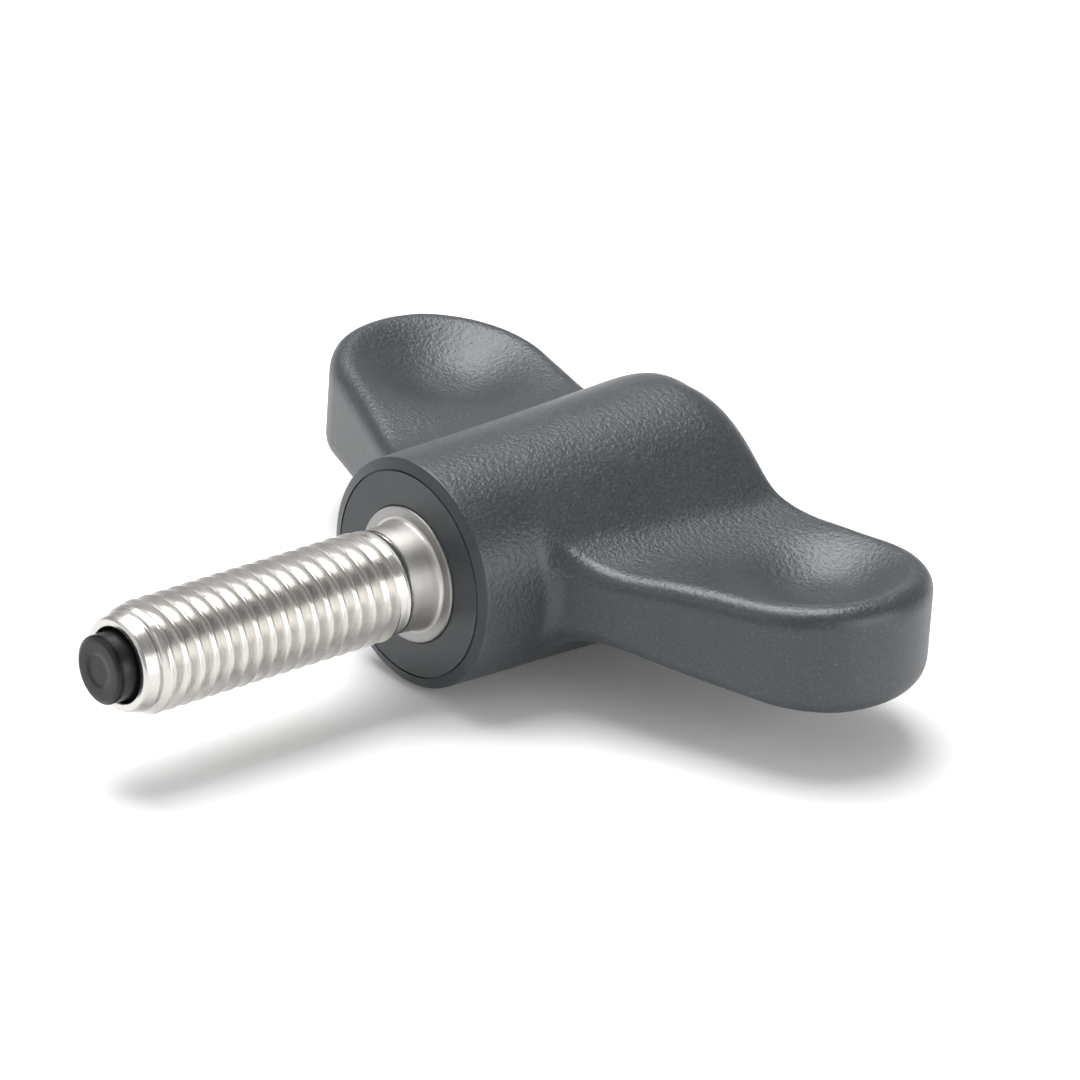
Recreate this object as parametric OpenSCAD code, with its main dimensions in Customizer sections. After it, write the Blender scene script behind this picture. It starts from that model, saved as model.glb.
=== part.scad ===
// Wing screw: plastic wing grip moulded round a stainless steel threaded stud
// that carries a plastic pressure pad in its tip.
// Millimetres. The screw axis is the Y axis: the stud points along -Y and the
// grip lies toward +Y. X runs along the wings and Z through their thickness.
// The origin is on the axis, on the seating face of the steel collar.

/* [Wings] */
// overall span across both wing tips
wing_span = 57; // [52:0.5:66]
// planform radius of a wing tip
wing_tip_r = 8.5; // [7:0.25:10]
// how far the wing tips are swept back from the wing roots
wing_sweep = 4.2; // [1:0.1:6]
// planform radius of a wing where it leaves the hub
wing_root_r = 9.9; // [8.5:0.1:10.5]
// thickness of a wing beside the hub
wing_root_t = 4; // [3.2:0.1:5]
// thickness of a wing at its tip
wing_tip_t = 9.2; // [8:0.1:10.5]
// depth of the finger dish in each wing face
dish_depth = 2.2; // [0.2:0.1:2.4]
// rounding of the wing edges beside the hub
edge_r = 1.2; // [1:0.1:1.8]
// rounding of the wing edges at the tips
tip_edge_r = 1.9; // [1.2:0.1:2.4]
// size of the hollow blend that carries the hub into the wings
blend = 6.8; // [5:0.2:8]

/* [Hub] */
// diameter of the hub
hub_d = 16.7; // [15.5:0.1:18]
// how far back the hub reaches from the collar face
hub_len = 27.4; // [25:0.2:30]
// how much the hub's radius grows toward its back end, per millimetre
hub_taper = 0.018; // [0:0.002:0.03]
// rounding of the hub's closed back end
hub_back_r = 4.3; // [3:0.1:6]
// diameter of the smooth flat disc on the hub's front
face_d = 14.9; // [13.5:0.1:15.3]

/* [Stud] */
// diameter of the steel collar
collar_d = 9.9; // [9.4:0.1:11]
// how far the collar stands proud of the plastic face
collar_proud = 0.2; // [0.1:0.05:0.6]
// length of the stud from the collar face to its steel end
stud_len = 25.6; // [18:0.1:45]
// length of the plain neck behind the thread
relief_len = 3.2; // [2.6:0.1:5]
// diameter of the plain neck
neck_d = 7.56; // [6.6:0.02:7.6]
// depth of the blind bore in the stud's end
bore_depth = 6; // [4:0.5:8]

/* [Tip pad] */
// diameter of the pressure pad
pad_d = 4.9; // [4:0.1:5]
// how far the pad stands out of the steel end
pad_out = 1.5; // [1:0.1:3]

/* [Hidden] */
$fn = 96;
r_thread = 4;            // M8 major radius
pitch = 1.25;            // M8 coarse pitch
neck_r = neck_d / 2;
flank = 0.65;            // modelled thread depth
face_y = collar_proud;   // plane of the smooth plastic face
rim_y = face_y + 0.3;    // where the textured side of the hub begins
hub_r = hub_d / 2;
face_r = face_d / 2;
collar_r = collar_d / 2;
pad_r = pad_d / 2;
shank_r = 1.75;
mouth_r = pad_r + 0.25;
root_x = 5.3;
root_y = rim_y + 15.3;
tip_x = wing_span / 2 - wing_tip_r;
tip_y = root_y + wing_sweep;
dish_x = tip_x + 0.6;
dish_y = tip_y + 0.4;
collar_back = 1.5;       // back face of the collar, inside the plastic
anchor_end = 12;         // end of the anchor head, inside the plastic
anchor_r = 4.7;
anchor_flat = 3.9;
c_plastic = [0.30, 0.315, 0.33];
c_steel = [0.78, 0.77, 0.75];
c_pad = [0.10, 0.10, 0.105];

// ---------------------------------------------------------------- grip shape
// Each function below is negative inside the shape and positive outside it.

function smooth_union(a, b, k) =
    let (h = max(0, min(1, 0.5 + 0.5 * (b - a) / k))) b + (a - b) * h - k * h * (1 - h);
function round_common(a, b, r) =
    min(max(a, b), -r) + norm([max(a + r, 0), max(b + r, 0)]);

// wing outline seen from above: the hull of a root circle and a tip circle
wing_l = norm([tip_x - root_x, tip_y - root_y]);
wing_u = [tip_x - root_x, tip_y - root_y] / wing_l;
wing_b = (wing_root_r - wing_tip_r) / wing_l;
wing_a = sqrt(1 - wing_b * wing_b);
function outline(x, y) =
    let (p = (x - root_x) * wing_u[0] + (y - root_y) * wing_u[1],
         q = abs((y - root_y) * wing_u[0] - (x - root_x) * wing_u[1]),
         k = wing_a * p - wing_b * q)
    k < 0 ? norm([p, q]) - wing_root_r
    : k > wing_a * wing_l ? norm([p - wing_l, q]) - wing_tip_r
    : q * wing_a + p * wing_b - wing_root_r;

// half thickness of a wing, with the finger dish taken out of it
function half_t(x, y) =
    let (u = max(0, min(1, (x - 6) / (wing_span / 2 - 7.5))),
         dx = (x - dish_x) / 5.6, dy = (y - dish_y) / 5.8)
    (wing_root_t + (wing_tip_t - wing_root_t) * u) / 2 - dish_depth * exp(-pow(dx * dx + dy * dy, 1.35));

function grip(p) =
    let (x = abs(p[0]), y = p[1], z = abs(p[2]),
         rho = norm([x, z]),
         r = hub_r + hub_taper * y,
         hub = round_common(rho - r, y - hub_len, hub_back_r),
         section = smooth_union(rho - (r - 1.2), z - half_t(x, y), blend),
         e = edge_r + (tip_edge_r - edge_r) * max(0, min(1, (x - 12) / 14)),
         wing = round_common(section, outline(x, y), e),
         join = 0.9 + 1.3 * max(0, min(1, (y - 10) / 12)))
    max(smooth_union(hub, wing, join), -2.2 - y);

// --------------------------------------------------- surface from the shape
// A regular grid of cells; every cell the surface crosses gets one corner
// point, which is then drawn onto the surface along its slope.
step = 1.2;
nx = 2 * ceil((wing_span / 2 + 1) / step);
ny = ceil((max(hub_len, tip_y + wing_tip_r) + 6) / step);
nz = 2 * ceil((max(hub_r, wing_tip_t / 2) + 1.4) / step);
function at(i, j, k) = [(i - nx / 2) * step, j * step - 4.6, (k - nz / 2) * step];

function slope(p, e) =
    [grip(p + [e, 0, 0]) - grip(p - [e, 0, 0]),
     grip(p + [0, e, 0]) - grip(p - [0, e, 0]),
     grip(p + [0, 0, e]) - grip(p - [0, 0, e])] / (2 * e);
function drawn(p, n) =
    n == 0 ? p
    : let (g = slope(p, 0.02), gg = max(g * g, 0.05)) drawn(p - g * (grip(p) / gg), n - 1);

function build_grid() =
    [for (i = [0:nx]) [for (j = [0:ny]) [for (k = [0:nz]) grip(at(i, j, k))]]];

corner = [for (a = [0, 1], b = [0, 1], c = [0, 1]) [a, b, c]];
edges = [[0, 1], [2, 3], [4, 5], [6, 7], [0, 2], [1, 3], [4, 6], [5, 7], [0, 4], [1, 5], [2, 6], [3, 7]];
function crossed(v, i, j, k) =
    let (s = [for (c = corner) v[i + c[0]][j + c[1]][k + c[2]] < 0 ? 1 : 0],
         n = s * [1, 1, 1, 1, 1, 1, 1, 1])
    n > 0 && n < 8;
function middle(v, i, j, k) =
    let (f = [for (c = corner) v[i + c[0]][j + c[1]][k + c[2]]],
         q = [for (c = corner) at(i + c[0], j + c[1], k + c[2])],
         m = [for (e = edges) if ((f[e[0]] < 0) != (f[e[1]] < 0))
                  q[e[0]] + (q[e[1]] - q[e[0]]) * (f[e[0]] / (f[e[0]] - f[e[1]]))],
         t = [for (x = m) 1] * m)
    t / len(m);

module grip_body() {
    v = build_grid();
    hit = [for (i = [0:nx - 1]) [for (j = [0:ny - 1]) [for (k = [0:nz - 1]) crossed(v, i, j, k) ? 1 : 0]]];
    ones = [for (k = [0:nz - 1]) 1];
    flat = [for (i = [0:nx - 1], j = [0:ny - 1]) hit[i][j] * ones];
    start = [for (n = 0, s = 0; n < len(flat); s = s + flat[n], n = n + 1) s];
    id = [for (i = [0:nx - 1]) [for (j = [0:ny - 1])
            [for (k = 0, s = start[i * ny + j]; k < nz; s = s + hit[i][j][k], k = k + 1) s]]];
    pts = [for (i = [0:nx - 1], j = [0:ny - 1], k = [0:nz - 1]) if (hit[i][j][k] > 0)
            drawn(middle(v, i, j, k), 3)];
    quads = [for (i = [1:nx - 1], j = [1:ny - 1], k = [1:nz - 1])
        let (a = v[i][j][k] < 0) each [
            if (i < nx && a != (v[i + 1][j][k] < 0))
                let (q = [id[i][j - 1][k - 1], id[i][j][k - 1], id[i][j][k], id[i][j - 1][k]])
                a ? [q[3], q[2], q[1], q[0]] : q,
            if (j < ny && a != (v[i][j + 1][k] < 0))
                let (q = [id[i - 1][j][k - 1], id[i - 1][j][k], id[i][j][k], id[i][j][k - 1]])
                a ? [q[3], q[2], q[1], q[0]] : q,
            if (k < nz && a != (v[i][j][k + 1] < 0))
                let (q = [id[i - 1][j - 1][k], id[i][j - 1][k], id[i][j][k], id[i - 1][j][k]])
                a ? [q[3], q[2], q[1], q[0]] : q
        ]];
    tris = [for (q = quads)
        each (norm(pts[q[0]] - pts[q[2]]) < norm(pts[q[1]] - pts[q[3]])
            ? [[q[0], q[1], q[2]], [q[0], q[2], q[3]]]
            : [[q[1], q[2], q[3]], [q[1], q[3], q[0]]])];
    polyhedron(pts, tris, convexity = 6);
}

// -------------------------------------------------------------- turned parts
// Profiles are [radius, distance along +Y] and are spun round the Y axis.
module spun(profile) rotate([-90, 0, 0]) rotate_extrude() polygon([for (p = profile) [p[0], p[1]]]);

// anchor head of the stud: a collar back, a locking groove and a flatted head
module anchor(gap, front) {
    intersection() {
        spun([[0, front], [collar_r + gap, front], [collar_r + gap, collar_back + gap],
              [3.5 + gap, collar_back + gap], [3.5 + gap, 3 - gap], [anchor_r + gap, 3 - gap],
              [anchor_r + gap, 6.6 + gap], [3.5 + gap, 7.4 + gap], [3.5 + gap, 8.0 - gap],
              [anchor_r + gap, 8.8 - gap], [anchor_r + gap, anchor_end - 0.5 + gap],
              [anchor_r - 0.5 + gap, anchor_end + gap], [0, anchor_end + gap]]);
        union() {
            translate([-8, -3, -8]) cube([16, 5.6, 16]);
            translate([-anchor_flat - gap, 2, -8]) cube([2 * (anchor_flat + gap), 12, 16]);
        }
    }
}

// one thread turn is a ridge swept round the axis; it fades out at both ends
thread_y0 = relief_len + 0.95;
thread_y1 = stud_len - 1.9;
module thread_ridge() {
    seg = 24;
    y0 = thread_y0 - pitch * 0.15;
    turns = (thread_y1 - thread_y0 + pitch * 0.3) / pitch;
    n = floor(turns * seg);
    crest = r_thread - 0.02;
    rr = r_thread - flank - 0.06;
    sec = [for (i = [0:n])
        let (a = i * 360 / seg, y = y0 + pitch * i / seg - pitch / 2)
        [for (s = [[rr, -0.44], [crest, -0.085], [crest, 0.085], [rr, 0.44]])
            [s[0] * cos(a), -(y + s[1] * pitch) - pitch * 0.5, s[0] * sin(a)]]];
    polyhedron(
        [for (s = sec) each s],
        concat(
            [for (i = [0:n - 1], k = [0:3])
                let (a = i * 4 + k, b = i * 4 + (k + 1) % 4, c = (i + 1) * 4 + (k + 1) % 4, d = (i + 1) * 4 + k)
                each [[a, b, c], [a, c, d]]],
            [[3, 2, 1], [3, 1, 0]],
            [[n * 4, n * 4 + 1, n * 4 + 2], [n * 4, n * 4 + 2, n * 4 + 3]]),
        convexity = 20);
}

// ------------------------------------------------------------------- pieces
module wing_body() {
    color(c_plastic)
    difference() {
        grip_body();
        // flat front, its bevelled rim and the fine line round the smooth disc
        spun([[0, -4], [14, -4], [14, rim_y + 1.2], [hub_r + 0.9, rim_y + 0.33], [face_r + 0.12, face_y],
              [face_r + 0.06, face_y + 0.16], [face_r, face_y], [0, face_y]]);
        anchor(0.01, -1.5);
    }
}

module threaded_stud() {
    color(c_steel)
    difference() {
        union() {
            // collar, plain neck, thread core and chamfered end
            spun([[0, 1.2], [0, -stud_len + 1], [2, -stud_len + 1], [2, -stud_len], [3.15, -stud_len],
                  [3.42, -stud_len + 0.12], [3.5, -stud_len + 0.4], [3.5, -stud_len + 0.85],
                  [r_thread, -stud_len + 1.45], [r_thread, -thread_y1], [r_thread - flank, -thread_y1 + 0.4],
                  [r_thread - flank, -thread_y0 - 0.4], [r_thread, -thread_y0], [r_thread, -relief_len - 0.45],
                  [neck_r, -relief_len + 0.1], [neck_r, -0.35], [neck_r + 0.1, -0.12], [neck_r + 0.3, 0],
                  [collar_r - 0.2, 0], [collar_r, 0.2], [collar_r, 1.2]]);
            thread_ridge();
            anchor(0, 0.4);
        }
        // blind bore with a countersunk mouth
        spun([[0, -stud_len - 2], [mouth_r + 0.5, -stud_len - 2], [mouth_r, -stud_len], [pad_r + 0.02, -stud_len + 0.5],
              [pad_r + 0.02, -stud_len + 1.2], [shank_r, -stud_len + 1.2], [shank_r, -stud_len + bore_depth],
              [0, -stud_len + bore_depth + 0.9]]);
    }
}

module tip_pad() {
    color(c_pad)
    spun([[0, -stud_len + bore_depth - 0.5], [shank_r - 0.3, -stud_len + bore_depth - 0.5],
          [shank_r, -stud_len + bore_depth - 1], [shank_r, -stud_len + 1.2], [pad_r, -stud_len + 1.2],
          [pad_r, -stud_len - pad_out + 0.4], [pad_r - 0.12, -stud_len - pad_out + 0.12],
          [pad_r - 0.4, -stud_len - pad_out], [1.2, -stud_len - pad_out], [1.1, -stud_len - pad_out + 0.08],
          [0, -stud_len - pad_out + 0.08]]);
}

wing_body();
threaded_stud();
tip_pad();
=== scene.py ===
import math

import bpy
import bmesh
import numpy as np
from mathutils import Matrix, Vector


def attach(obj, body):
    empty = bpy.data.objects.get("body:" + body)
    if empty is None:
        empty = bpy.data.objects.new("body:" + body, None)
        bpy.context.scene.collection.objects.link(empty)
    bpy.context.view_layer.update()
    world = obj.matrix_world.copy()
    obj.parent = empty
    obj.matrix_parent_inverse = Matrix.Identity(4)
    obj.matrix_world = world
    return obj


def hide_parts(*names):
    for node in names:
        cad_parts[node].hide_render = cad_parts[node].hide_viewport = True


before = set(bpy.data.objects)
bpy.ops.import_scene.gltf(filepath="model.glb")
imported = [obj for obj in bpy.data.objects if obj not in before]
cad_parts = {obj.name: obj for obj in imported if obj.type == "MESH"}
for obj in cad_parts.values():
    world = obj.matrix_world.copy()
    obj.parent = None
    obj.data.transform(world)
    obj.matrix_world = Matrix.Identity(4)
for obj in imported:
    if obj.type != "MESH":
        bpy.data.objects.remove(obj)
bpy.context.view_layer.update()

MM = 0.001

# ------------------------------------------------------------------ sizes, mm
WING_SPAN = 57.0
WING_TIP_R = 8.5
WING_SWEEP = 4.2
WING_ROOT_R = 9.9
WING_ROOT_T = 4.0
WING_TIP_T = 9.2
DISH_DEPTH = 2.2
EDGE_R = 1.15
EDGE_GAIN = 0.75
BLEND = 6.8
HUB_R = 8.35
HUB_LEN = 27.4
TAPER = 0.018
HUB_BACK_R = 4.3
FACE_Y = 0.2
RIM_Y = 0.5
FACE_R = 7.45
COLLAR_R = 4.95
STUD_LEN = 25.6
PITCH = 1.25
R_CREST = 4.0
R_ROOT = 3.32
NECK_R = 3.78
PAD_R = 2.45
PAD_OUT = 1.5
SHANK_R = 1.75
BORE_DEPTH = 6.0
ROOT_X, ROOT_Y = 5.3, RIM_Y + 15.3
TIP_X, TIP_Y = WING_SPAN / 2 - WING_TIP_R, ROOT_Y + WING_SWEEP
DISH_X, DISH_Y = 20.6, 20.4
DISH_RX, DISH_RY = 5.6, 5.8
SEG = 160


# ----------------------------------------------------------- grip as a surface
# Each function is negative inside the shape and positive outside it.
def smooth_union(a, b, k):
    h = np.clip(0.5 + 0.5 * (b - a) / k, 0, 1)
    return b + (a - b) * h - k * h * (1 - h)


def round_common(a, b, r):
    return np.minimum(np.maximum(a, b), -r) + np.hypot(np.maximum(a + r, 0), np.maximum(b + r, 0))


_l = math.hypot(TIP_X - ROOT_X, TIP_Y - ROOT_Y)
_u = ((TIP_X - ROOT_X) / _l, (TIP_Y - ROOT_Y) / _l)
_b = (WING_ROOT_R - WING_TIP_R) / _l
_a = math.sqrt(1 - _b * _b)


def outline(x, y):
    p = (x - ROOT_X) * _u[0] + (y - ROOT_Y) * _u[1]
    q = np.abs((y - ROOT_Y) * _u[0] - (x - ROOT_X) * _u[1])
    k = _a * p - _b * q
    return np.where(
        k < 0,
        np.hypot(p, q) - WING_ROOT_R,
        np.where(k > _a * _l, np.hypot(p - _l, q) - WING_TIP_R, q * _a + p * _b - WING_ROOT_R),
    )


def half_t(x, y):
    u = np.clip((x - 6) / (WING_SPAN / 2 - 7.5), 0, 1)
    d2 = ((x - DISH_X) / DISH_RX) ** 2 + ((y - DISH_Y) / DISH_RY) ** 2
    dish = np.exp(-(d2**1.35))
    return (WING_ROOT_T + (WING_TIP_T - WING_ROOT_T) * u) / 2 - DISH_DEPTH * dish


def grip(p):
    x, y, z = np.abs(p[..., 0]), p[..., 1], np.abs(p[..., 2])
    rho = np.hypot(x, z)
    r = HUB_R + TAPER * y
    hub = round_common(rho - r, y - HUB_LEN, HUB_BACK_R)
    section = smooth_union(rho - (r - 1.2), z - half_t(x, y), BLEND)
    edge = EDGE_R + EDGE_GAIN * np.clip((x - 12) / 14, 0, 1)
    wing = round_common(section, outline(x, y), edge)
    return smooth_union(hub, wing, 0.9 + 1.3 * np.clip((y - 10) / 12, 0, 1))


def slope(p, e=0.01):
    g = np.empty_like(p)
    for k in range(3):
        d = np.zeros(3)
        d[k] = e
        g[..., k] = (grip(p + d) - grip(p - d)) / (2 * e)
    return g


def drawn(p, n):
    for _ in range(n):
        g = slope(p)
        gg = np.maximum((g * g).sum(-1), 0.05)
        p = p - g * (grip(p) / gg)[..., None]
    return p


def ring_order(edges):
    """Vertices of one closed loop of edges, in walking order."""
    nxt = {}
    for a, b in edges:
        nxt.setdefault(a, []).append(b)
        nxt.setdefault(b, []).append(a)
    start = edges[0][0]
    loop, prev, cur = [start], None, start
    while True:
        options = [v for v in nxt[cur] if v != prev]
        prev, cur = cur, options[0]
        if cur == start:
            return loop
        loop.append(cur)


def spun_rings(profile, seg=SEG):
    """Rings of points round the Y axis; a profile point on the axis gives one point."""
    t = np.arange(seg) * 2 * math.pi / seg
    return [
        np.array([[0.0, y, 0.0]]) if r < 1e-6 else np.stack([r * np.cos(t), np.full(seg, y), r * np.sin(t)], -1)
        for r, y in profile
    ]


def join_rings(rings, start):
    """Quads and end triangles between consecutive rings; vertex numbers begin at start."""
    faces, base = [], start
    for a, b in zip(rings[:-1], rings[1:]):
        na, nb = len(a), len(b)
        for i in range(max(na, nb)):
            j = (i + 1) % max(na, nb)
            if na == 1:
                faces.append((base, base + na + i, base + na + j))
            elif nb == 1:
                faces.append((base + i, base + na, base + j))
            else:
                faces.append((base + i, base + na + i, base + na + j, base + j))
        base += na
    return faces


def arc(cx, cy, r, a0, a1, n):
    """Points of an arc in the (radius, y) half plane; angles in degrees."""
    return [
        (cx + r * math.cos(math.radians(a0 + (a1 - a0) * i / n)), cy + r * math.sin(math.radians(a0 + (a1 - a0) * i / n)))
        for i in range(n + 1)
    ]


def grip_mesh():
    step, y_cut = 0.32, 3.6
    lo = np.array([-30.08, y_cut - step / 2, -10.08])
    n = [int(60.16 / step) + 2, int((30.2 - y_cut) / step) + 2, int(20.16 / step) + 2]
    ax = [lo[k] + step * np.arange(n[k]) for k in range(3)]
    grid = np.stack(np.meshgrid(*ax, indexing="ij"), -1)
    v = grip(grid)
    neg = v < 0
    count = np.zeros([m - 1 for m in n], int)
    for a in (0, 1):
        for b in (0, 1):
            for c in (0, 1):
                count += neg[a : n[0] - 1 + a, b : n[1] - 1 + b, c : n[2] - 1 + c]
    live = (count > 0) & (count < 8)
    ids = np.full(live.shape, -1)
    ids[live] = np.arange(live.sum())
    cell = np.argwhere(live)
    corners = np.array([[a, b, c] for a in (0, 1) for b in (0, 1) for c in (0, 1)])
    vals = np.stack([v[tuple((cell + c).T)] for c in corners], -1)
    total, hits = np.zeros((len(cell), 3)), np.zeros(len(cell))
    for i, j in [(0, 1), (2, 3), (4, 5), (6, 7), (0, 2), (1, 3), (4, 6), (5, 7), (0, 4), (1, 5), (2, 6), (3, 7)]:
        cross = (vals[:, i] < 0) != (vals[:, j] < 0)
        t = np.where(cross, vals[:, i] / np.where(cross, vals[:, i] - vals[:, j], 1), 0)
        point = corners[i] + t[:, None] * (corners[j] - corners[i])
        total += point * cross[:, None]
        hits += cross
    pts = lo + step * (cell + total / hits[:, None])
    quads = []
    for axis in range(3):
        b, c = (axis + 1) % 3, (axis + 2) % 3
        s0 = [slice(None)] * 3
        s1 = [slice(None)] * 3
        s0[axis], s1[axis] = slice(0, n[axis] - 1), slice(1, n[axis])
        for k in (b, c):
            s0[k] = s1[k] = slice(1, n[k] - 1)
        first, second = neg[tuple(s0)], neg[tuple(s1)]
        where = np.argwhere(first != second)
        inside = first[tuple(where.T)]
        base = where.copy()
        base[:, b] += 1
        base[:, c] += 1

        def cellid(db, dc):
            q = base.copy()
            q[:, b] += db
            q[:, c] += dc
            return ids[tuple(q.T)]

        q = np.stack([cellid(-1, -1), cellid(0, -1), cellid(0, 0), cellid(-1, 0)], -1)
        q[~inside] = q[~inside][:, ::-1]
        quads.append(q)
    quads = np.concatenate(quads)
    pts = drawn(pts, 3)
    # even out the mesh along the surface, holding the open front loop
    e = np.concatenate([quads[:, [k, (k + 1) % 4]] for k in range(4)])
    key = np.sort(e, 1)
    uniq, times = np.unique(key, axis=0, return_counts=True)
    rim = uniq[times == 1]
    held = np.zeros(len(pts), bool)
    held[rim.ravel()] = True
    degree = np.bincount(uniq.ravel(), minlength=len(pts)).astype(float)
    theta = np.arctan2(pts[held, 2], pts[held, 0])
    r_cut = HUB_R + TAPER * y_cut
    pts[held] = np.stack([r_cut * np.cos(theta), np.full(held.sum(), y_cut), r_cut * np.sin(theta)], -1)
    for _ in range(4):
        mean = np.zeros_like(pts)
        for k in range(3):
            mean[:, k] = (
                np.bincount(uniq[:, 0], pts[uniq[:, 1], k], len(pts)) + np.bincount(uniq[:, 1], pts[uniq[:, 0], k], len(pts))
            ) / degree
        moved = drawn(pts + 0.55 * (mean - pts), 2)
        pts[~held] = moved[~held]
    loop = ring_order([tuple(x) for x in rim.tolist()])
    ang = np.unwrap(np.arctan2(pts[loop, 2], pts[loop, 0]))
    if ang[-1] < ang[0]:
        loop = loop[::-1]
        ang = np.unwrap(np.arctan2(pts[loop, 2], pts[loop, 0]))

    # turned front: side, small rounded rim, bevel, fine line, smooth disc, pocket for the stud's anchor
    r_of = lambda y: HUB_R + TAPER * y
    profile = [(r_of(3.3), 3.3), (r_of(2.4), 2.4), (r_of(1.5), 1.5), (r_of(0.95), 0.95)]
    profile += arc(r_of(0.6) - 0.13, 0.60, 0.13, 0, -68, 5)
    bx, by = profile[-1]
    profile += [(8.0, by - (bx - 8.0) * 0.36), (7.72, by - (bx - 7.72) * 0.36)]
    profile += [(FACE_R + 0.16, FACE_Y + 0.035), (FACE_R + 0.12, FACE_Y + 0.02)]
    profile += [(FACE_R + 0.10, FACE_Y + 0.17), (FACE_R + 0.02, FACE_Y + 0.18), (FACE_R, FACE_Y + 0.03), (FACE_R - 0.03, FACE_Y)]
    profile += [(r, FACE_Y) for r in (7.0, 6.4, 5.8, 5.3)]
    profile += [(COLLAR_R + 0.07, FACE_Y), (COLLAR_R + 0.03, FACE_Y + 0.04), (COLLAR_R + 0.03, 1.53), (3.53, 1.53), (3.53, 2.97)]
    profile += [(4.73, 2.97), (4.73, 6.62), (3.53, 7.42), (3.53, 7.98), (4.73, 8.78), (4.73, 11.53), (4.22, 12.03), (0, 12.03)]
    rings = spun_rings(profile)
    first = len(pts)
    faces = [tuple(q) for q in quads.tolist()] + join_rings(rings, first)
    # stitch the loop to the first turned ring
    off = int(round((ang[0]) / (2 * math.pi) * SEG))
    i = j = 0
    na, nb = len(loop), SEG
    ang_b0 = off * 2 * math.pi / SEG
    while i < na or j < nb:
        ai = ang[i + 1] if i + 1 < na else ang[0] + 2 * math.pi
        bj = ang_b0 + (j + 1) * 2 * math.pi / SEG
        a0, b0 = loop[i % na], first + (off + j) % SEG
        if j >= nb or (i < na and ai <= bj):
            faces.append((a0, loop[(i + 1) % na], b0))
            i += 1
        else:
            faces.append((a0, first + (off + j + 1) % SEG, b0))
            j += 1
    verts = np.concatenate([pts] + rings)
    return verts, faces, first


def put(name, verts, faces, sharp=32.0):
    mesh = bpy.data.meshes.new(name)
    mesh.from_pydata((np.asarray(verts) * MM).tolist(), [], faces)
    bm = bmesh.new()
    bm.from_mesh(mesh)
    bmesh.ops.remove_doubles(bm, verts=bm.verts, dist=2e-7)
    bmesh.ops.dissolve_degenerate(bm, edges=bm.edges, dist=1e-8)
    bmesh.ops.recalc_face_normals(bm, faces=bm.faces)
    bm.to_mesh(mesh)
    bm.free()
    mesh.validate()
    mesh.shade_smooth()
    mesh.set_sharp_from_angle(angle=math.radians(sharp))
    obj = bpy.data.objects.new(name, mesh)
    bpy.context.scene.collection.objects.link(obj)
    return obj


# ------------------------------------------------------------------ stud, mm
def thread_r(u):
    """Radius of the M8 profile; u is the place in one pitch, 0 on the crest."""
    d = np.abs(u - np.round(u))
    line = R_CREST - np.maximum(d - 0.0625, 0) * PITCH * 1.732
    root = R_ROOT + 0.9 * (d - 0.5) ** 2 * PITCH * 3
    k = 0.10
    h = np.clip(0.5 + 0.5 * (line - root) / k, 0, 1)
    soft = root + (line - root) * h + k * h * (1 - h) * 0.5
    return np.minimum(soft, R_CREST)


def lerp(x, xs, ys):
    order = np.argsort(xs)
    return np.interp(x, np.array(xs)[order], np.array(ys)[order])


NECK_Y, END_Y = -2.2, -24.75
PHASE = 0.0


def stud_r(theta, y):
    u = (y + PITCH * theta / (2 * math.pi)) / PITCH + PHASE
    t = thread_r(u)
    # relief cone behind the thread, lead-in chamfer at the tip
    env = lerp(y, [NECK_Y, -2.5, -3.1, -3.7, -10, -23.45, -23.8, -24.2, -24.55, END_Y],
               [NECK_R, NECK_R, 3.92, 4.0, 4.0, 4.0, 3.93, 3.76, 3.62, 3.56])
    floor_r = lerp(y, [NECK_Y, -2.4, -3.0, -4.2, -5.4, -10, -23.2, -23.9, -24.3, -24.6, END_Y],
                   [3.8, 3.8, 3.70, 3.42, R_ROOT, R_ROOT, R_ROOT, 3.36, 3.52, 3.62, 3.62])
    return np.minimum(np.maximum(t, floor_r), env)


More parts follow.
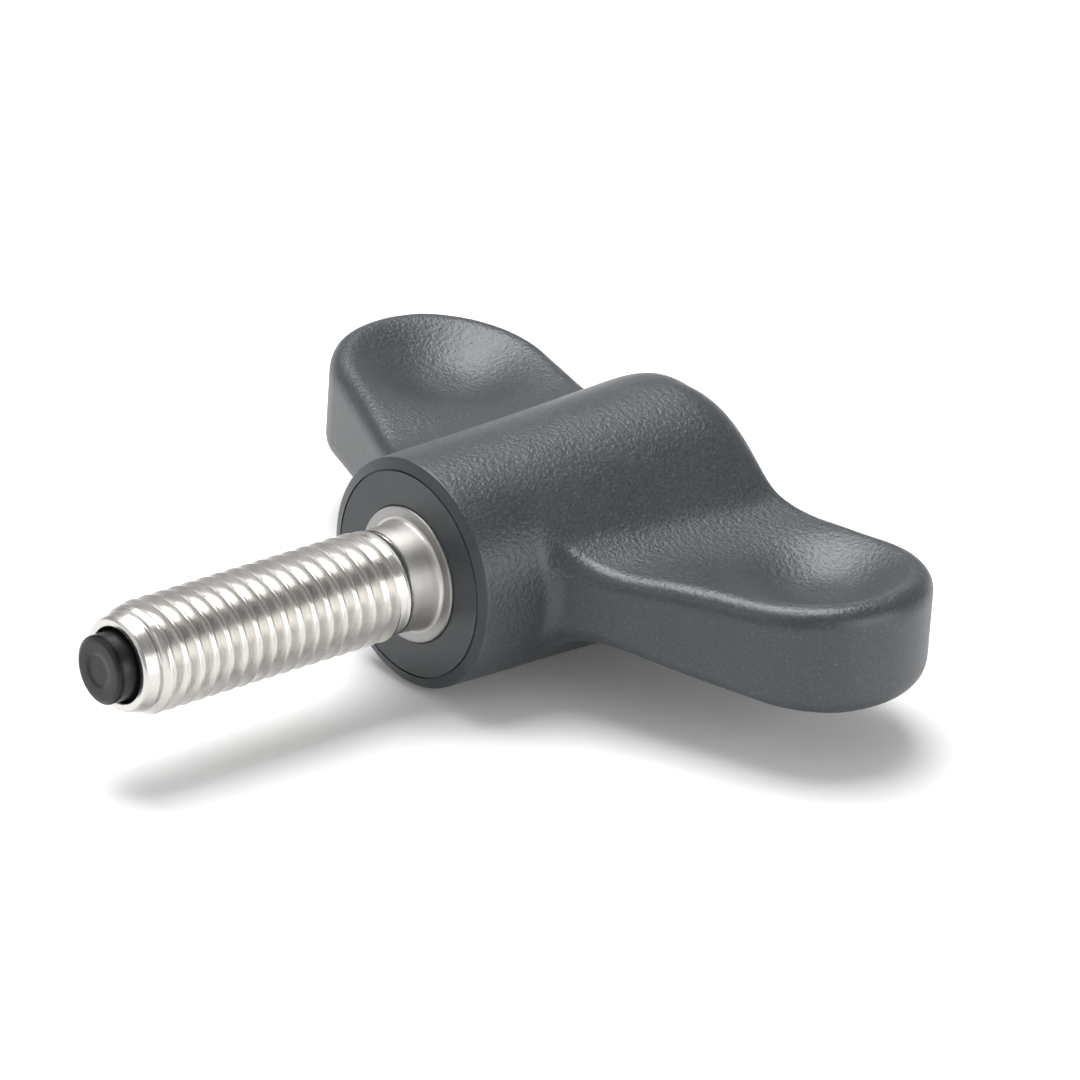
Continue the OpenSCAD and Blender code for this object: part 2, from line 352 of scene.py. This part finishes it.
def stud_mesh():
    seg = SEG
    us = np.array([-0.074, -0.0625, -0.03, 0.03, 0.0625, 0.074, 0.12, 0.17, 0.22, 0.27, 0.32, 0.35, 0.38, 0.41, 0.44, 0.47,
                   0.5, 0.53, 0.56, 0.59, 0.62, 0.65, 0.68, 0.73, 0.78, 0.83, 0.88]) + 0.0
    m = len(us)
    c0 = int(math.floor(NECK_Y / -PITCH)) - 2
    c1 = int(math.ceil(END_Y / -PITCH)) + 2
    cs = np.concatenate([c + us for c in range(c0, c1 + 1)])
    th = np.arange(seg) * 2 * math.pi / seg
    y = -PITCH * (cs[None, :] + th[:, None] / (2 * math.pi)) - PHASE * PITCH
    y = np.clip(y, END_Y, NECK_Y)
    r = stud_r(th[:, None], y)
    pts = np.stack([r * np.cos(th)[:, None], y, r * np.sin(th)[:, None]], -1)
    k = len(cs)
    faces = []
    idx = lambda i, j: i * k + j if i < seg else j + m
    for i in range(seg):
        for j in range(k - 1 - m):
            jj = j + m if i == seg - 1 else j
            a, b = i * k + j, i * k + j + 1
            c, d = ((i + 1) * k + j + 1, (i + 1) * k + j) if i < seg - 1 else (j + 1 + m, j + m)
            q = [a, b, c, d]
            flat = pts.reshape(-1, 3)
            if abs(flat[a][1] - flat[b][1]) < 1e-9 and abs(flat[c][1] - flat[d][1]) < 1e-9:
                continue
            faces.append(tuple(q))
    thread = pts.reshape(-1, 3)
    # used vertices only
    used = np.unique(np.concatenate([np.array(f) for f in faces]))
    remap = np.full(len(thread), -1)
    remap[used] = np.arange(len(used))
    faces = [tuple(int(remap[v]) for v in f) for f in faces]
    verts = [thread[used]]
    n = len(used)
    # neck, fillet, collar and the anchor inside the plastic, ending on the axis
    back = [(NECK_R, NECK_Y), (NECK_R + 0.02, -1.5), (NECK_R + 0.08, -0.8), (NECK_R + 0.14, -0.45)]
    back += [(4.2 - 0.26 * math.cos(math.radians(a)), -0.26 + 0.26 * math.sin(math.radians(a))) for a in (12, 30, 48, 66, 84)]
    back += [(4.24, 0.0), (4.5, 0.0), (4.75, 0.0)]
    back += arc(COLLAR_R - 0.14, 0.14, 0.14, -90, 0, 5)[1:]
    back += [(COLLAR_R, 0.5), (COLLAR_R, 1.5), (3.5, 1.5), (3.5, 3.0), (4.7, 3.0), (4.7, 6.6), (3.5, 7.4), (3.5, 8.0), (4.7, 8.8)]
    back += [(4.7, 11.5), (4.2, 12.0), (0, 12.0)]
    rings = spun_rings(back)
    faces += join_rings(rings, n)
    verts += rings
    n += sum(len(x) for x in rings)
    # lead end, countersunk mouth and blind bore
    e = -STUD_LEN
    front = [(3.56, END_Y), (3.50, e + 0.62), (3.42, e + 0.40)]
    front += arc(3.08, e + 0.32, 0.32, 5, -90, 7)[1:]
    front += [(3.0, e), (2.86, e + 0.01)]
    front += arc(2.84, e + 0.13, 0.12, 270, 192, 5)
    front += [(2.62, e + 0.45), (PAD_R + 0.03, e + 0.75), (PAD_R + 0.03, e + 1.21), (SHANK_R + 0.01, e + 1.21)]
    front += [(SHANK_R + 0.01, e + BORE_DEPTH), (0, e + BORE_DEPTH + 0.9)]
    rings = spun_rings(front)
    faces += join_rings(rings, n)
    verts += rings
    return np.concatenate(verts), faces


def pad_mesh():
    e = -STUD_LEN
    f = e - PAD_OUT
    prof = [(0, e + BORE_DEPTH - 0.5), (SHANK_R - 0.3, e + BORE_DEPTH - 0.5), (SHANK_R, e + BORE_DEPTH - 1), (SHANK_R, e + 2.6), (SHANK_R, e + 1.2)]
    prof += [(PAD_R - 0.05, e + 1.2), (PAD_R, e + 1.15), (PAD_R, e + 0.4), (PAD_R, e - 0.5), (PAD_R, e - 1.3), (PAD_R, f + 0.44)]
    prof += arc(PAD_R - 0.42, f + 0.42, 0.42, 0, -90, 9)[1:]
    prof += [(1.75, f + 0.005), (1.34, f + 0.01)]
    prof += [(1.22, f + 0.03), (1.12, f + 0.085), (1.02, f + 0.11), (0.7, f + 0.115), (0.35, f + 0.11), (0, f + 0.10)]
    rings = spun_rings(prof, 112)
    return np.concatenate(rings), join_rings(rings, 0)


# --------------------------------------------------------------- node helpers
class Tree:
    def __init__(self, name):
        self.mat = bpy.data.materials.new(name)
        self.mat.use_nodes = True
        self.nt = self.mat.node_tree
        self.nt.nodes.clear()
        self.out = self.nt.nodes.new("ShaderNodeOutputMaterial")
        self.bsdf = self.nt.nodes.new("ShaderNodeBsdfPrincipled")
        self.link(self.bsdf.outputs[0], self.out.inputs[0])

    def node(self, kind, **props):
        n = self.nt.nodes.new(kind)
        for k, v in props.items():
            setattr(n, k, v)
        return n

    def link(self, a, b):
        self.nt.links.new(a, b)

    def value(self, sock, v):
        if isinstance(v, bpy.types.NodeSocket):
            self.link(v, sock)
        else:
            sock.default_value = v

    def math(self, op, a, b=0.0, clamp=False):
        n = self.node("ShaderNodeMath", operation=op)
        n.use_clamp = clamp
        self.value(n.inputs[0], a)
        self.value(n.inputs[1], b)
        return n.outputs[0]

    def coords(self, scale=(1, 1, 1)):
        t = self.node("ShaderNodeTexCoord")
        m = self.node("ShaderNodeMapping")
        self.link(t.outputs["Object"], m.inputs["Vector"])
        m.inputs["Scale"].default_value = scale
        return m.outputs[0]

    def noise(self, vec, scale, detail=2.0, rough=0.5, distort=0.0):
        n = self.node("ShaderNodeTexNoise")
        self.link(vec, n.inputs["Vector"])
        n.inputs["Scale"].default_value = scale
        n.inputs["Detail"].default_value = detail
        n.inputs["Roughness"].default_value = rough
        n.inputs["Distortion"].default_value = distort
        return n.outputs[0]

    def voronoi(self, vec, scale, feature="F1", smooth=None):
        n = self.node("ShaderNodeTexVoronoi", feature=feature)
        self.link(vec, n.inputs["Vector"])
        n.inputs["Scale"].default_value = scale
        return n.outputs["Distance"]

    def ramp(self, fac, stops):
        n = self.node("ShaderNodeValToRGB")
        self.link(fac, n.inputs[0])
        while len(n.color_ramp.elements) < len(stops):
            n.color_ramp.elements.new(0.5)
        for el, (pos, col) in zip(n.color_ramp.elements, stops):
            el.position = pos
            el.color = (*col, 1) if len(col) == 3 else col
        return n.outputs[0]

    def span(self, fac, lo, hi, a=0.0, b=1.0):
        n = self.node("ShaderNodeMapRange")
        self.link(fac, n.inputs["Value"])
        n.inputs["From Min"].default_value = lo
        n.inputs["From Max"].default_value = hi
        n.inputs["To Min"].default_value = a
        n.inputs["To Max"].default_value = b
        return n.outputs[0]

    def mix(self, fac, a, b):
        n = self.node("ShaderNodeMix", data_type="RGBA")
        self.value(n.inputs[0], fac)
        self.value(n.inputs[6], a)
        self.value(n.inputs[7], b)
        return n.outputs[2]

    def bump(self, height, distance, strength=1.0, normal=None):
        n = self.node("ShaderNodeBump")
        self.link(height, n.inputs["Height"])
        n.inputs["Distance"].default_value = distance
        self.value(n.inputs["Strength"], strength)
        if normal is not None:
            self.link(normal, n.inputs["Normal"])
        return n.outputs[0]

    def mark(self, name):
        n = self.node("ShaderNodeAttribute", attribute_name=name)
        return n.outputs["Fac"]


def grained_plastic():
    """Slate-grey glass-filled nylon: spark-eroded grain on the faces, finer on the side walls, with faint draw lines."""
    t = Tree("grip_plastic")
    wall = t.mark("wall")
    v = t.coords()
    fine = t.noise(v, 5600, 2.0, 0.6)
    mid = t.noise(v, 2900, 2.0, 0.55)
    pits = t.voronoi(v, 5200)
    soft = t.noise(v, 160, 2.0, 0.5)
    streak = t.noise(t.coords((1, 1, 0.06)), 1500, 2.0, 0.6)
    # colour: near-uniform slate grey with small mottling, painted glints (paler specks) on the grain's high points and
    # painted shade (darker specks) in its low points
    tint = t.ramp(soft, [(0.25, (0.022, 0.028, 0.032)), (0.75, (0.030, 0.037, 0.042))])
    # painted highlight: paler base colour where the fine grain stands high, standing in for glints
    painted_glint = t.span(fine, 0.56, 0.76, 0.0, 0.75)
    col = t.mix(painted_glint, tint, (0.085, 0.095, 0.104, 1))
    # painted shade: darker base colour where the fine grain sits low
    painted_pit_shade = t.span(fine, 0.44, 0.26, 0.0, 0.75)
    col = t.mix(painted_pit_shade, col, (0.010, 0.012, 0.014, 1))
    t.link(col, t.bsdf.inputs["Base Color"])
    r1 = t.span(fine, 0.3, 0.7, 0.33, 0.44)
    r2 = t.math("MULTIPLY", t.span(soft, 0.2, 0.8, -0.03, 0.03), 1.0)
    rough = t.math("ADD", t.math("ADD", r1, r2), t.math("MULTIPLY", wall, 0.04), clamp=True)
    t.link(rough, t.bsdf.inputs["Roughness"])
    t.bsdf.inputs["IOR"].default_value = 1.60
    grain_h = t.math("ADD", t.math("MULTIPLY", fine, 0.25), t.math("MULTIPLY", mid, 0.8))
    grain_h = t.math("SUBTRACT", grain_h, t.math("MULTIPLY", pits, 0.10))
    keep = t.span(wall, 0.0, 1.0, 1.0, 0.34)
    b1 = t.bump(grain_h, 0.00008, keep)
    b2 = t.bump(streak, 0.00003, t.math("MULTIPLY", wall, 0.5), b1)
    t.link(b2, t.bsdf.inputs["Normal"])
    return t.mat


def smooth_plastic():
    """The same plastic where the mould is polished: the disc and bevel at the hub's front."""
    t = Tree("grip_plastic_smooth")
    v = t.coords()
    soft = t.noise(v, 260, 3.0, 0.55)
    fine = t.noise(v, 5200, 2.0, 0.6)
    col = t.ramp(soft, [(0.2, (0.024, 0.030, 0.034)), (0.8, (0.031, 0.038, 0.043))])
    t.link(col, t.bsdf.inputs["Base Color"])
    t.link(t.span(soft, 0.2, 0.8, 0.34, 0.46), t.bsdf.inputs["Roughness"])
    t.bsdf.inputs["IOR"].default_value = 1.52
    t.link(t.bump(fine, 0.00002, 0.35), t.bsdf.inputs["Normal"])
    return t.mat


def steel(name, rough_lo, rough_hi, mark, dist, colour):
    """Stainless steel with turning marks that run round the Y axis."""
    t = Tree(name)
    v = t.coords((0.02, 1, 0.02))
    lines = t.noise(v, 9000, 3.0, 0.6)
    wide = t.noise(v, 1400, 2.0, 0.5)
    blot = t.noise(t.coords(), 420, 3.0, 0.6)
    hi = tuple(min(1.0, c * 1.04) for c in colour)
    lo = tuple(c * 0.93 for c in colour)
    t.link(t.ramp(blot, [(0.3, lo), (0.7, hi)]), t.bsdf.inputs["Base Color"])
    t.bsdf.inputs["Metallic"].default_value = 1.0
    r = t.math("ADD", t.span(lines, 0.3, 0.7, rough_lo, rough_hi), t.span(blot, 0.3, 0.7, -0.02, 0.03))
    t.link(r, t.bsdf.inputs["Roughness"])
    h = t.math("ADD", t.math("MULTIPLY", lines, mark), t.math("MULTIPLY", wide, mark))
    t.link(t.bump(h, dist, 0.6), t.bsdf.inputs["Normal"])
    return t.mat


def satin_steel(colour):
    """The collar's seating face: fine rings turned into it, satin."""
    t = Tree("steel_collar")
    c = t.node("ShaderNodeTexCoord")
    s = t.node("ShaderNodeSeparateXYZ")
    t.link(c.outputs["Object"], s.inputs[0])
    rad = t.math("SQRT", t.math("ADD", t.math("POWER", s.outputs[0], 2.0), t.math("POWER", s.outputs[2], 2.0)))
    comb = t.node("ShaderNodeCombineXYZ")
    t.link(rad, comb.inputs[0])
    t.link(t.math("MULTIPLY", s.outputs[1], 1.0), comb.inputs[1])
    rings = t.noise(comb.outputs[0], 14000, 2.0, 0.55)
    blot = t.noise(t.coords(), 600, 3.0, 0.6)
    t.link(t.ramp(blot, [(0.3, tuple(0.92 * k for k in colour)), (0.7, colour)]), t.bsdf.inputs["Base Color"])
    t.bsdf.inputs["Metallic"].default_value = 1.0
    t.link(t.math("ADD", t.span(rings, 0.3, 0.7, 0.36, 0.50), t.span(blot, 0.3, 0.7, -0.03, 0.03)), t.bsdf.inputs["Roughness"])
    t.link(t.bump(rings, 0.000012, 0.6), t.bsdf.inputs["Normal"])
    return t.mat


def pad_plastic():
    t = Tree("pad_plastic")
    v = t.coords()
    fine = t.noise(v, 3800, 3.0, 0.6)
    soft = t.noise(v, 500, 2.0, 0.5)
    t.link(t.ramp(soft, [(0.25, (0.006, 0.006, 0.0065)), (0.75, (0.010, 0.010, 0.0105))]), t.bsdf.inputs["Base Color"])
    t.link(t.math("ADD", t.span(fine, 0.3, 0.7, 0.28, 0.40), t.span(soft, 0.3, 0.7, -0.03, 0.04)), t.bsdf.inputs["Roughness"])
    t.bsdf.inputs["IOR"].default_value = 1.38
    t.link(t.bump(fine, 0.00002, 0.5), t.bsdf.inputs["Normal"])
    return t.mat


# -------------------------------------------------------------------- pieces
verts, faces, first = grip_mesh()
body = put("grip", verts, faces, 30)
mesh = body.data
co = np.empty(len(mesh.vertices) * 3)
mesh.vertices.foreach_get("co", co)
co = co.reshape(-1, 3) / MM
x, y = np.abs(co[:, 0]), co[:, 1]
near_wall = np.clip((outline(x, y) + 0.9) / 0.6, 0, 1)
on_wing = np.clip((np.hypot(x, co[:, 2]) - 9.0) / 1.5, 0, 1)
wall = near_wall * on_wing
attr = mesh.attributes.new("wall", "FLOAT", "POINT")
attr.data.foreach_set("value", wall.astype(np.float32))
mesh.materials.append(grained_plastic())
mesh.materials.append(smooth_plastic())
for poly in mesh.polygons:
    c = poly.center / MM
    if c.y < 0.70 and math.hypot(c.x, c.z) < 8.33:
        poly.material_index = 1
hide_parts("wing_body")
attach(body, "root")

verts, faces = stud_mesh()
stud = put("stud", verts, faces, 24)
STEEL = (0.59, 0.572, 0.545)
stud.data.materials.append(steel("steel_turned", 0.19, 0.30, 0.5, 0.000012, STEEL))
stud.data.materials.append(satin_steel((0.33, 0.325, 0.317)))
stud.data.materials.append(steel("steel_neck", 0.34, 0.48, 0.5, 0.00002, STEEL))
for poly in stud.data.polygons:
    c = poly.center / MM
    if c.y > -0.02 and math.hypot(c.x, c.z) > 4.2:
        poly.material_index = 1
    elif c.y > -2.3:
        poly.material_index = 2
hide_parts("threaded_stud")
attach(stud, "root")

verts, faces = pad_mesh()
pad = put("pad", verts, faces, 28)
pad.data.materials.append(pad_plastic())
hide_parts("tip_pad")
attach(pad, "root")


# ---------------------------------------------------------- floor, light, view
def floor_material():
    t = Tree("floor_white")
    n = t.noise(t.coords(), 3.0, 2.0, 0.5)
    t.link(t.ramp(n, [(0.3, (0.90, 0.90, 0.90)), (0.7, (0.92, 0.92, 0.92))]), t.bsdf.inputs["Base Color"])
    t.bsdf.inputs["Roughness"].default_value = 0.7
    t.bsdf.inputs["Specular IOR Level"].default_value = 0.15
    t.bsdf.inputs["Emission Color"].default_value = (1, 1, 1, 1)
    s = t.node("ShaderNodeSeparateXYZ")
    t.link(t.coords(), s.inputs[0])
    away = t.math("SQRT", t.math("ADD", t.math("POWER", s.outputs[0], 2.0), t.math("POWER", s.outputs[1], 2.0)))
    seen = t.node("ShaderNodeLightPath").outputs["Is Camera Ray"]
    pale = t.math("MULTIPLY", t.span(away, 0.10, 0.45, 0.0, 0.75), seen)
    t.link(t.math("ADD", pale, 0.04), t.bsdf.inputs["Emission Strength"])
    return t.mat


FLOOR_Z = -(HUB_R + TAPER * (HUB_LEN - HUB_BACK_R)) - 0.02
m = bpy.data.meshes.new("floor")
s = 3000.0
m.from_pydata([(-s * MM, -s * MM, FLOOR_Z * MM), (s * MM, -s * MM, FLOOR_Z * MM), (s * MM, s * MM, FLOOR_Z * MM), (-s * MM, s * MM, FLOOR_Z * MM)], [], [(0, 1, 2, 3)])
floor = bpy.data.objects.new("floor", m)
bpy.context.scene.collection.objects.link(floor)
m.materials.append(floor_material())


def area(name, place, target, size, power, colour=(1, 1, 1)):
    light = bpy.data.lights.new(name, "AREA")
    light.shape = "RECTANGLE"
    light.size, light.size_y = size
    light.energy = power
    light.color = colour
    o = bpy.data.objects.new(name, light)
    o.location = place
    o.rotation_mode = "QUATERNION"
    o.rotation_quaternion = (Vector(target) - Vector(place)).to_track_quat("-Z", "Y")
    o.visible_camera = False
    bpy.context.scene.collection.objects.link(o)
    return o


area("key", (-0.20, 0.05, 0.58), (0, 0, 0), (0.46, 0.48), 5.2)
area("back_left", (-0.42, 0.30, 0.40), (0, 0.01, 0), (0.34, 0.26), 0.12)
area("front_left", (-0.20, -0.51, 0.35), (0, -0.01, 0), (0.80, 0.28), 0.64)
area("right", (0.51, 0.17, 0.13), (0, 0, 0), (0.50, 0.34), 1.4)

world = bpy.data.worlds.new("studio")
bpy.context.scene.world = world
world.use_nodes = True
wt = world.node_tree
wt.nodes.clear()
wo = wt.nodes.new("ShaderNodeOutputWorld")
bg_seen = wt.nodes.new("ShaderNodeBackground")
bg_seen.inputs[0].default_value = (1, 1, 1, 1)
bg_seen.inputs[1].default_value = 1.0
bg_room = wt.nodes.new("ShaderNodeBackground")
tc = wt.nodes.new("ShaderNodeTexCoord")
sep = wt.nodes.new("ShaderNodeSeparateXYZ")
wt.links.new(tc.outputs["Generated"], sep.inputs[0])
rampn = wt.nodes.new("ShaderNodeValToRGB")
wt.links.new(sep.outputs[2], rampn.inputs[0])
stops = [(0.0, 0.70), (0.13, 0.66), (0.175, 0.48), (0.25, 0.46), (0.31, 0.44), (1.0, 0.40)]
while len(rampn.color_ramp.elements) < len(stops):
    rampn.color_ramp.elements.new(0.5)
for el, (pos, val) in zip(rampn.color_ramp.elements, stops):
    el.position = pos
    el.color = (val, val, val, 1)
wt.links.new(rampn.outputs[0], bg_room.inputs[0])
dot = wt.nodes.new("ShaderNodeVectorMath")
dot.operation = "DOT_PRODUCT"
wt.links.new(tc.outputs["Generated"], dot.inputs[0])
dot.inputs[1].default_value = Vector((0.50, 0.52, 0.60)).normalized()
gap = wt.nodes.new("ShaderNodeMapRange")
gap.interpolation_type = "SMOOTHSTEP"
wt.links.new(dot.outputs["Value"], gap.inputs["Value"])
for key, val in (("From Min", 0.82), ("From Max", 0.95), ("To Min", 1.0), ("To Max", 0.75)):
    gap.inputs[key].default_value = val
wt.links.new(gap.outputs[0], bg_room.inputs[1])
lp = wt.nodes.new("ShaderNodeLightPath")
mixw = wt.nodes.new("ShaderNodeMixShader")
wt.links.new(lp.outputs["Is Camera Ray"], mixw.inputs[0])
wt.links.new(bg_room.outputs[0], mixw.inputs[1])
wt.links.new(bg_seen.outputs[0], mixw.inputs[2])
wt.links.new(mixw.outputs[0], wo.inputs[0])

cam_data = bpy.data.cameras.new("camera")
cam_data.sensor_width = 36.0
cam_data.lens = 300.3
cam_data.clip_start, cam_data.clip_end = 0.01, 20
cam = bpy.data.objects.new("camera", cam_data)
bpy.context.scene.collection.objects.link(cam)
right = Vector((0.642327, 0.763986, 0.061162))
up = Vector((-0.369832, 0.239062, 0.897816))
back = Vector((0.671298, -0.599311, 0.436102))
cam.matrix_world = Matrix(
    (
        (right.x, up.x, back.x, 0.427495),
        (right.y, up.y, back.y, -0.369332),
        (right.z, up.z, back.z, 0.277144),
        (0, 0, 0, 1),
    )
)
bpy.context.scene.camera = cam
bpy.context.scene.view_settings.view_transform = "Standard"
bpy.context.scene.view_settings.look = "None"
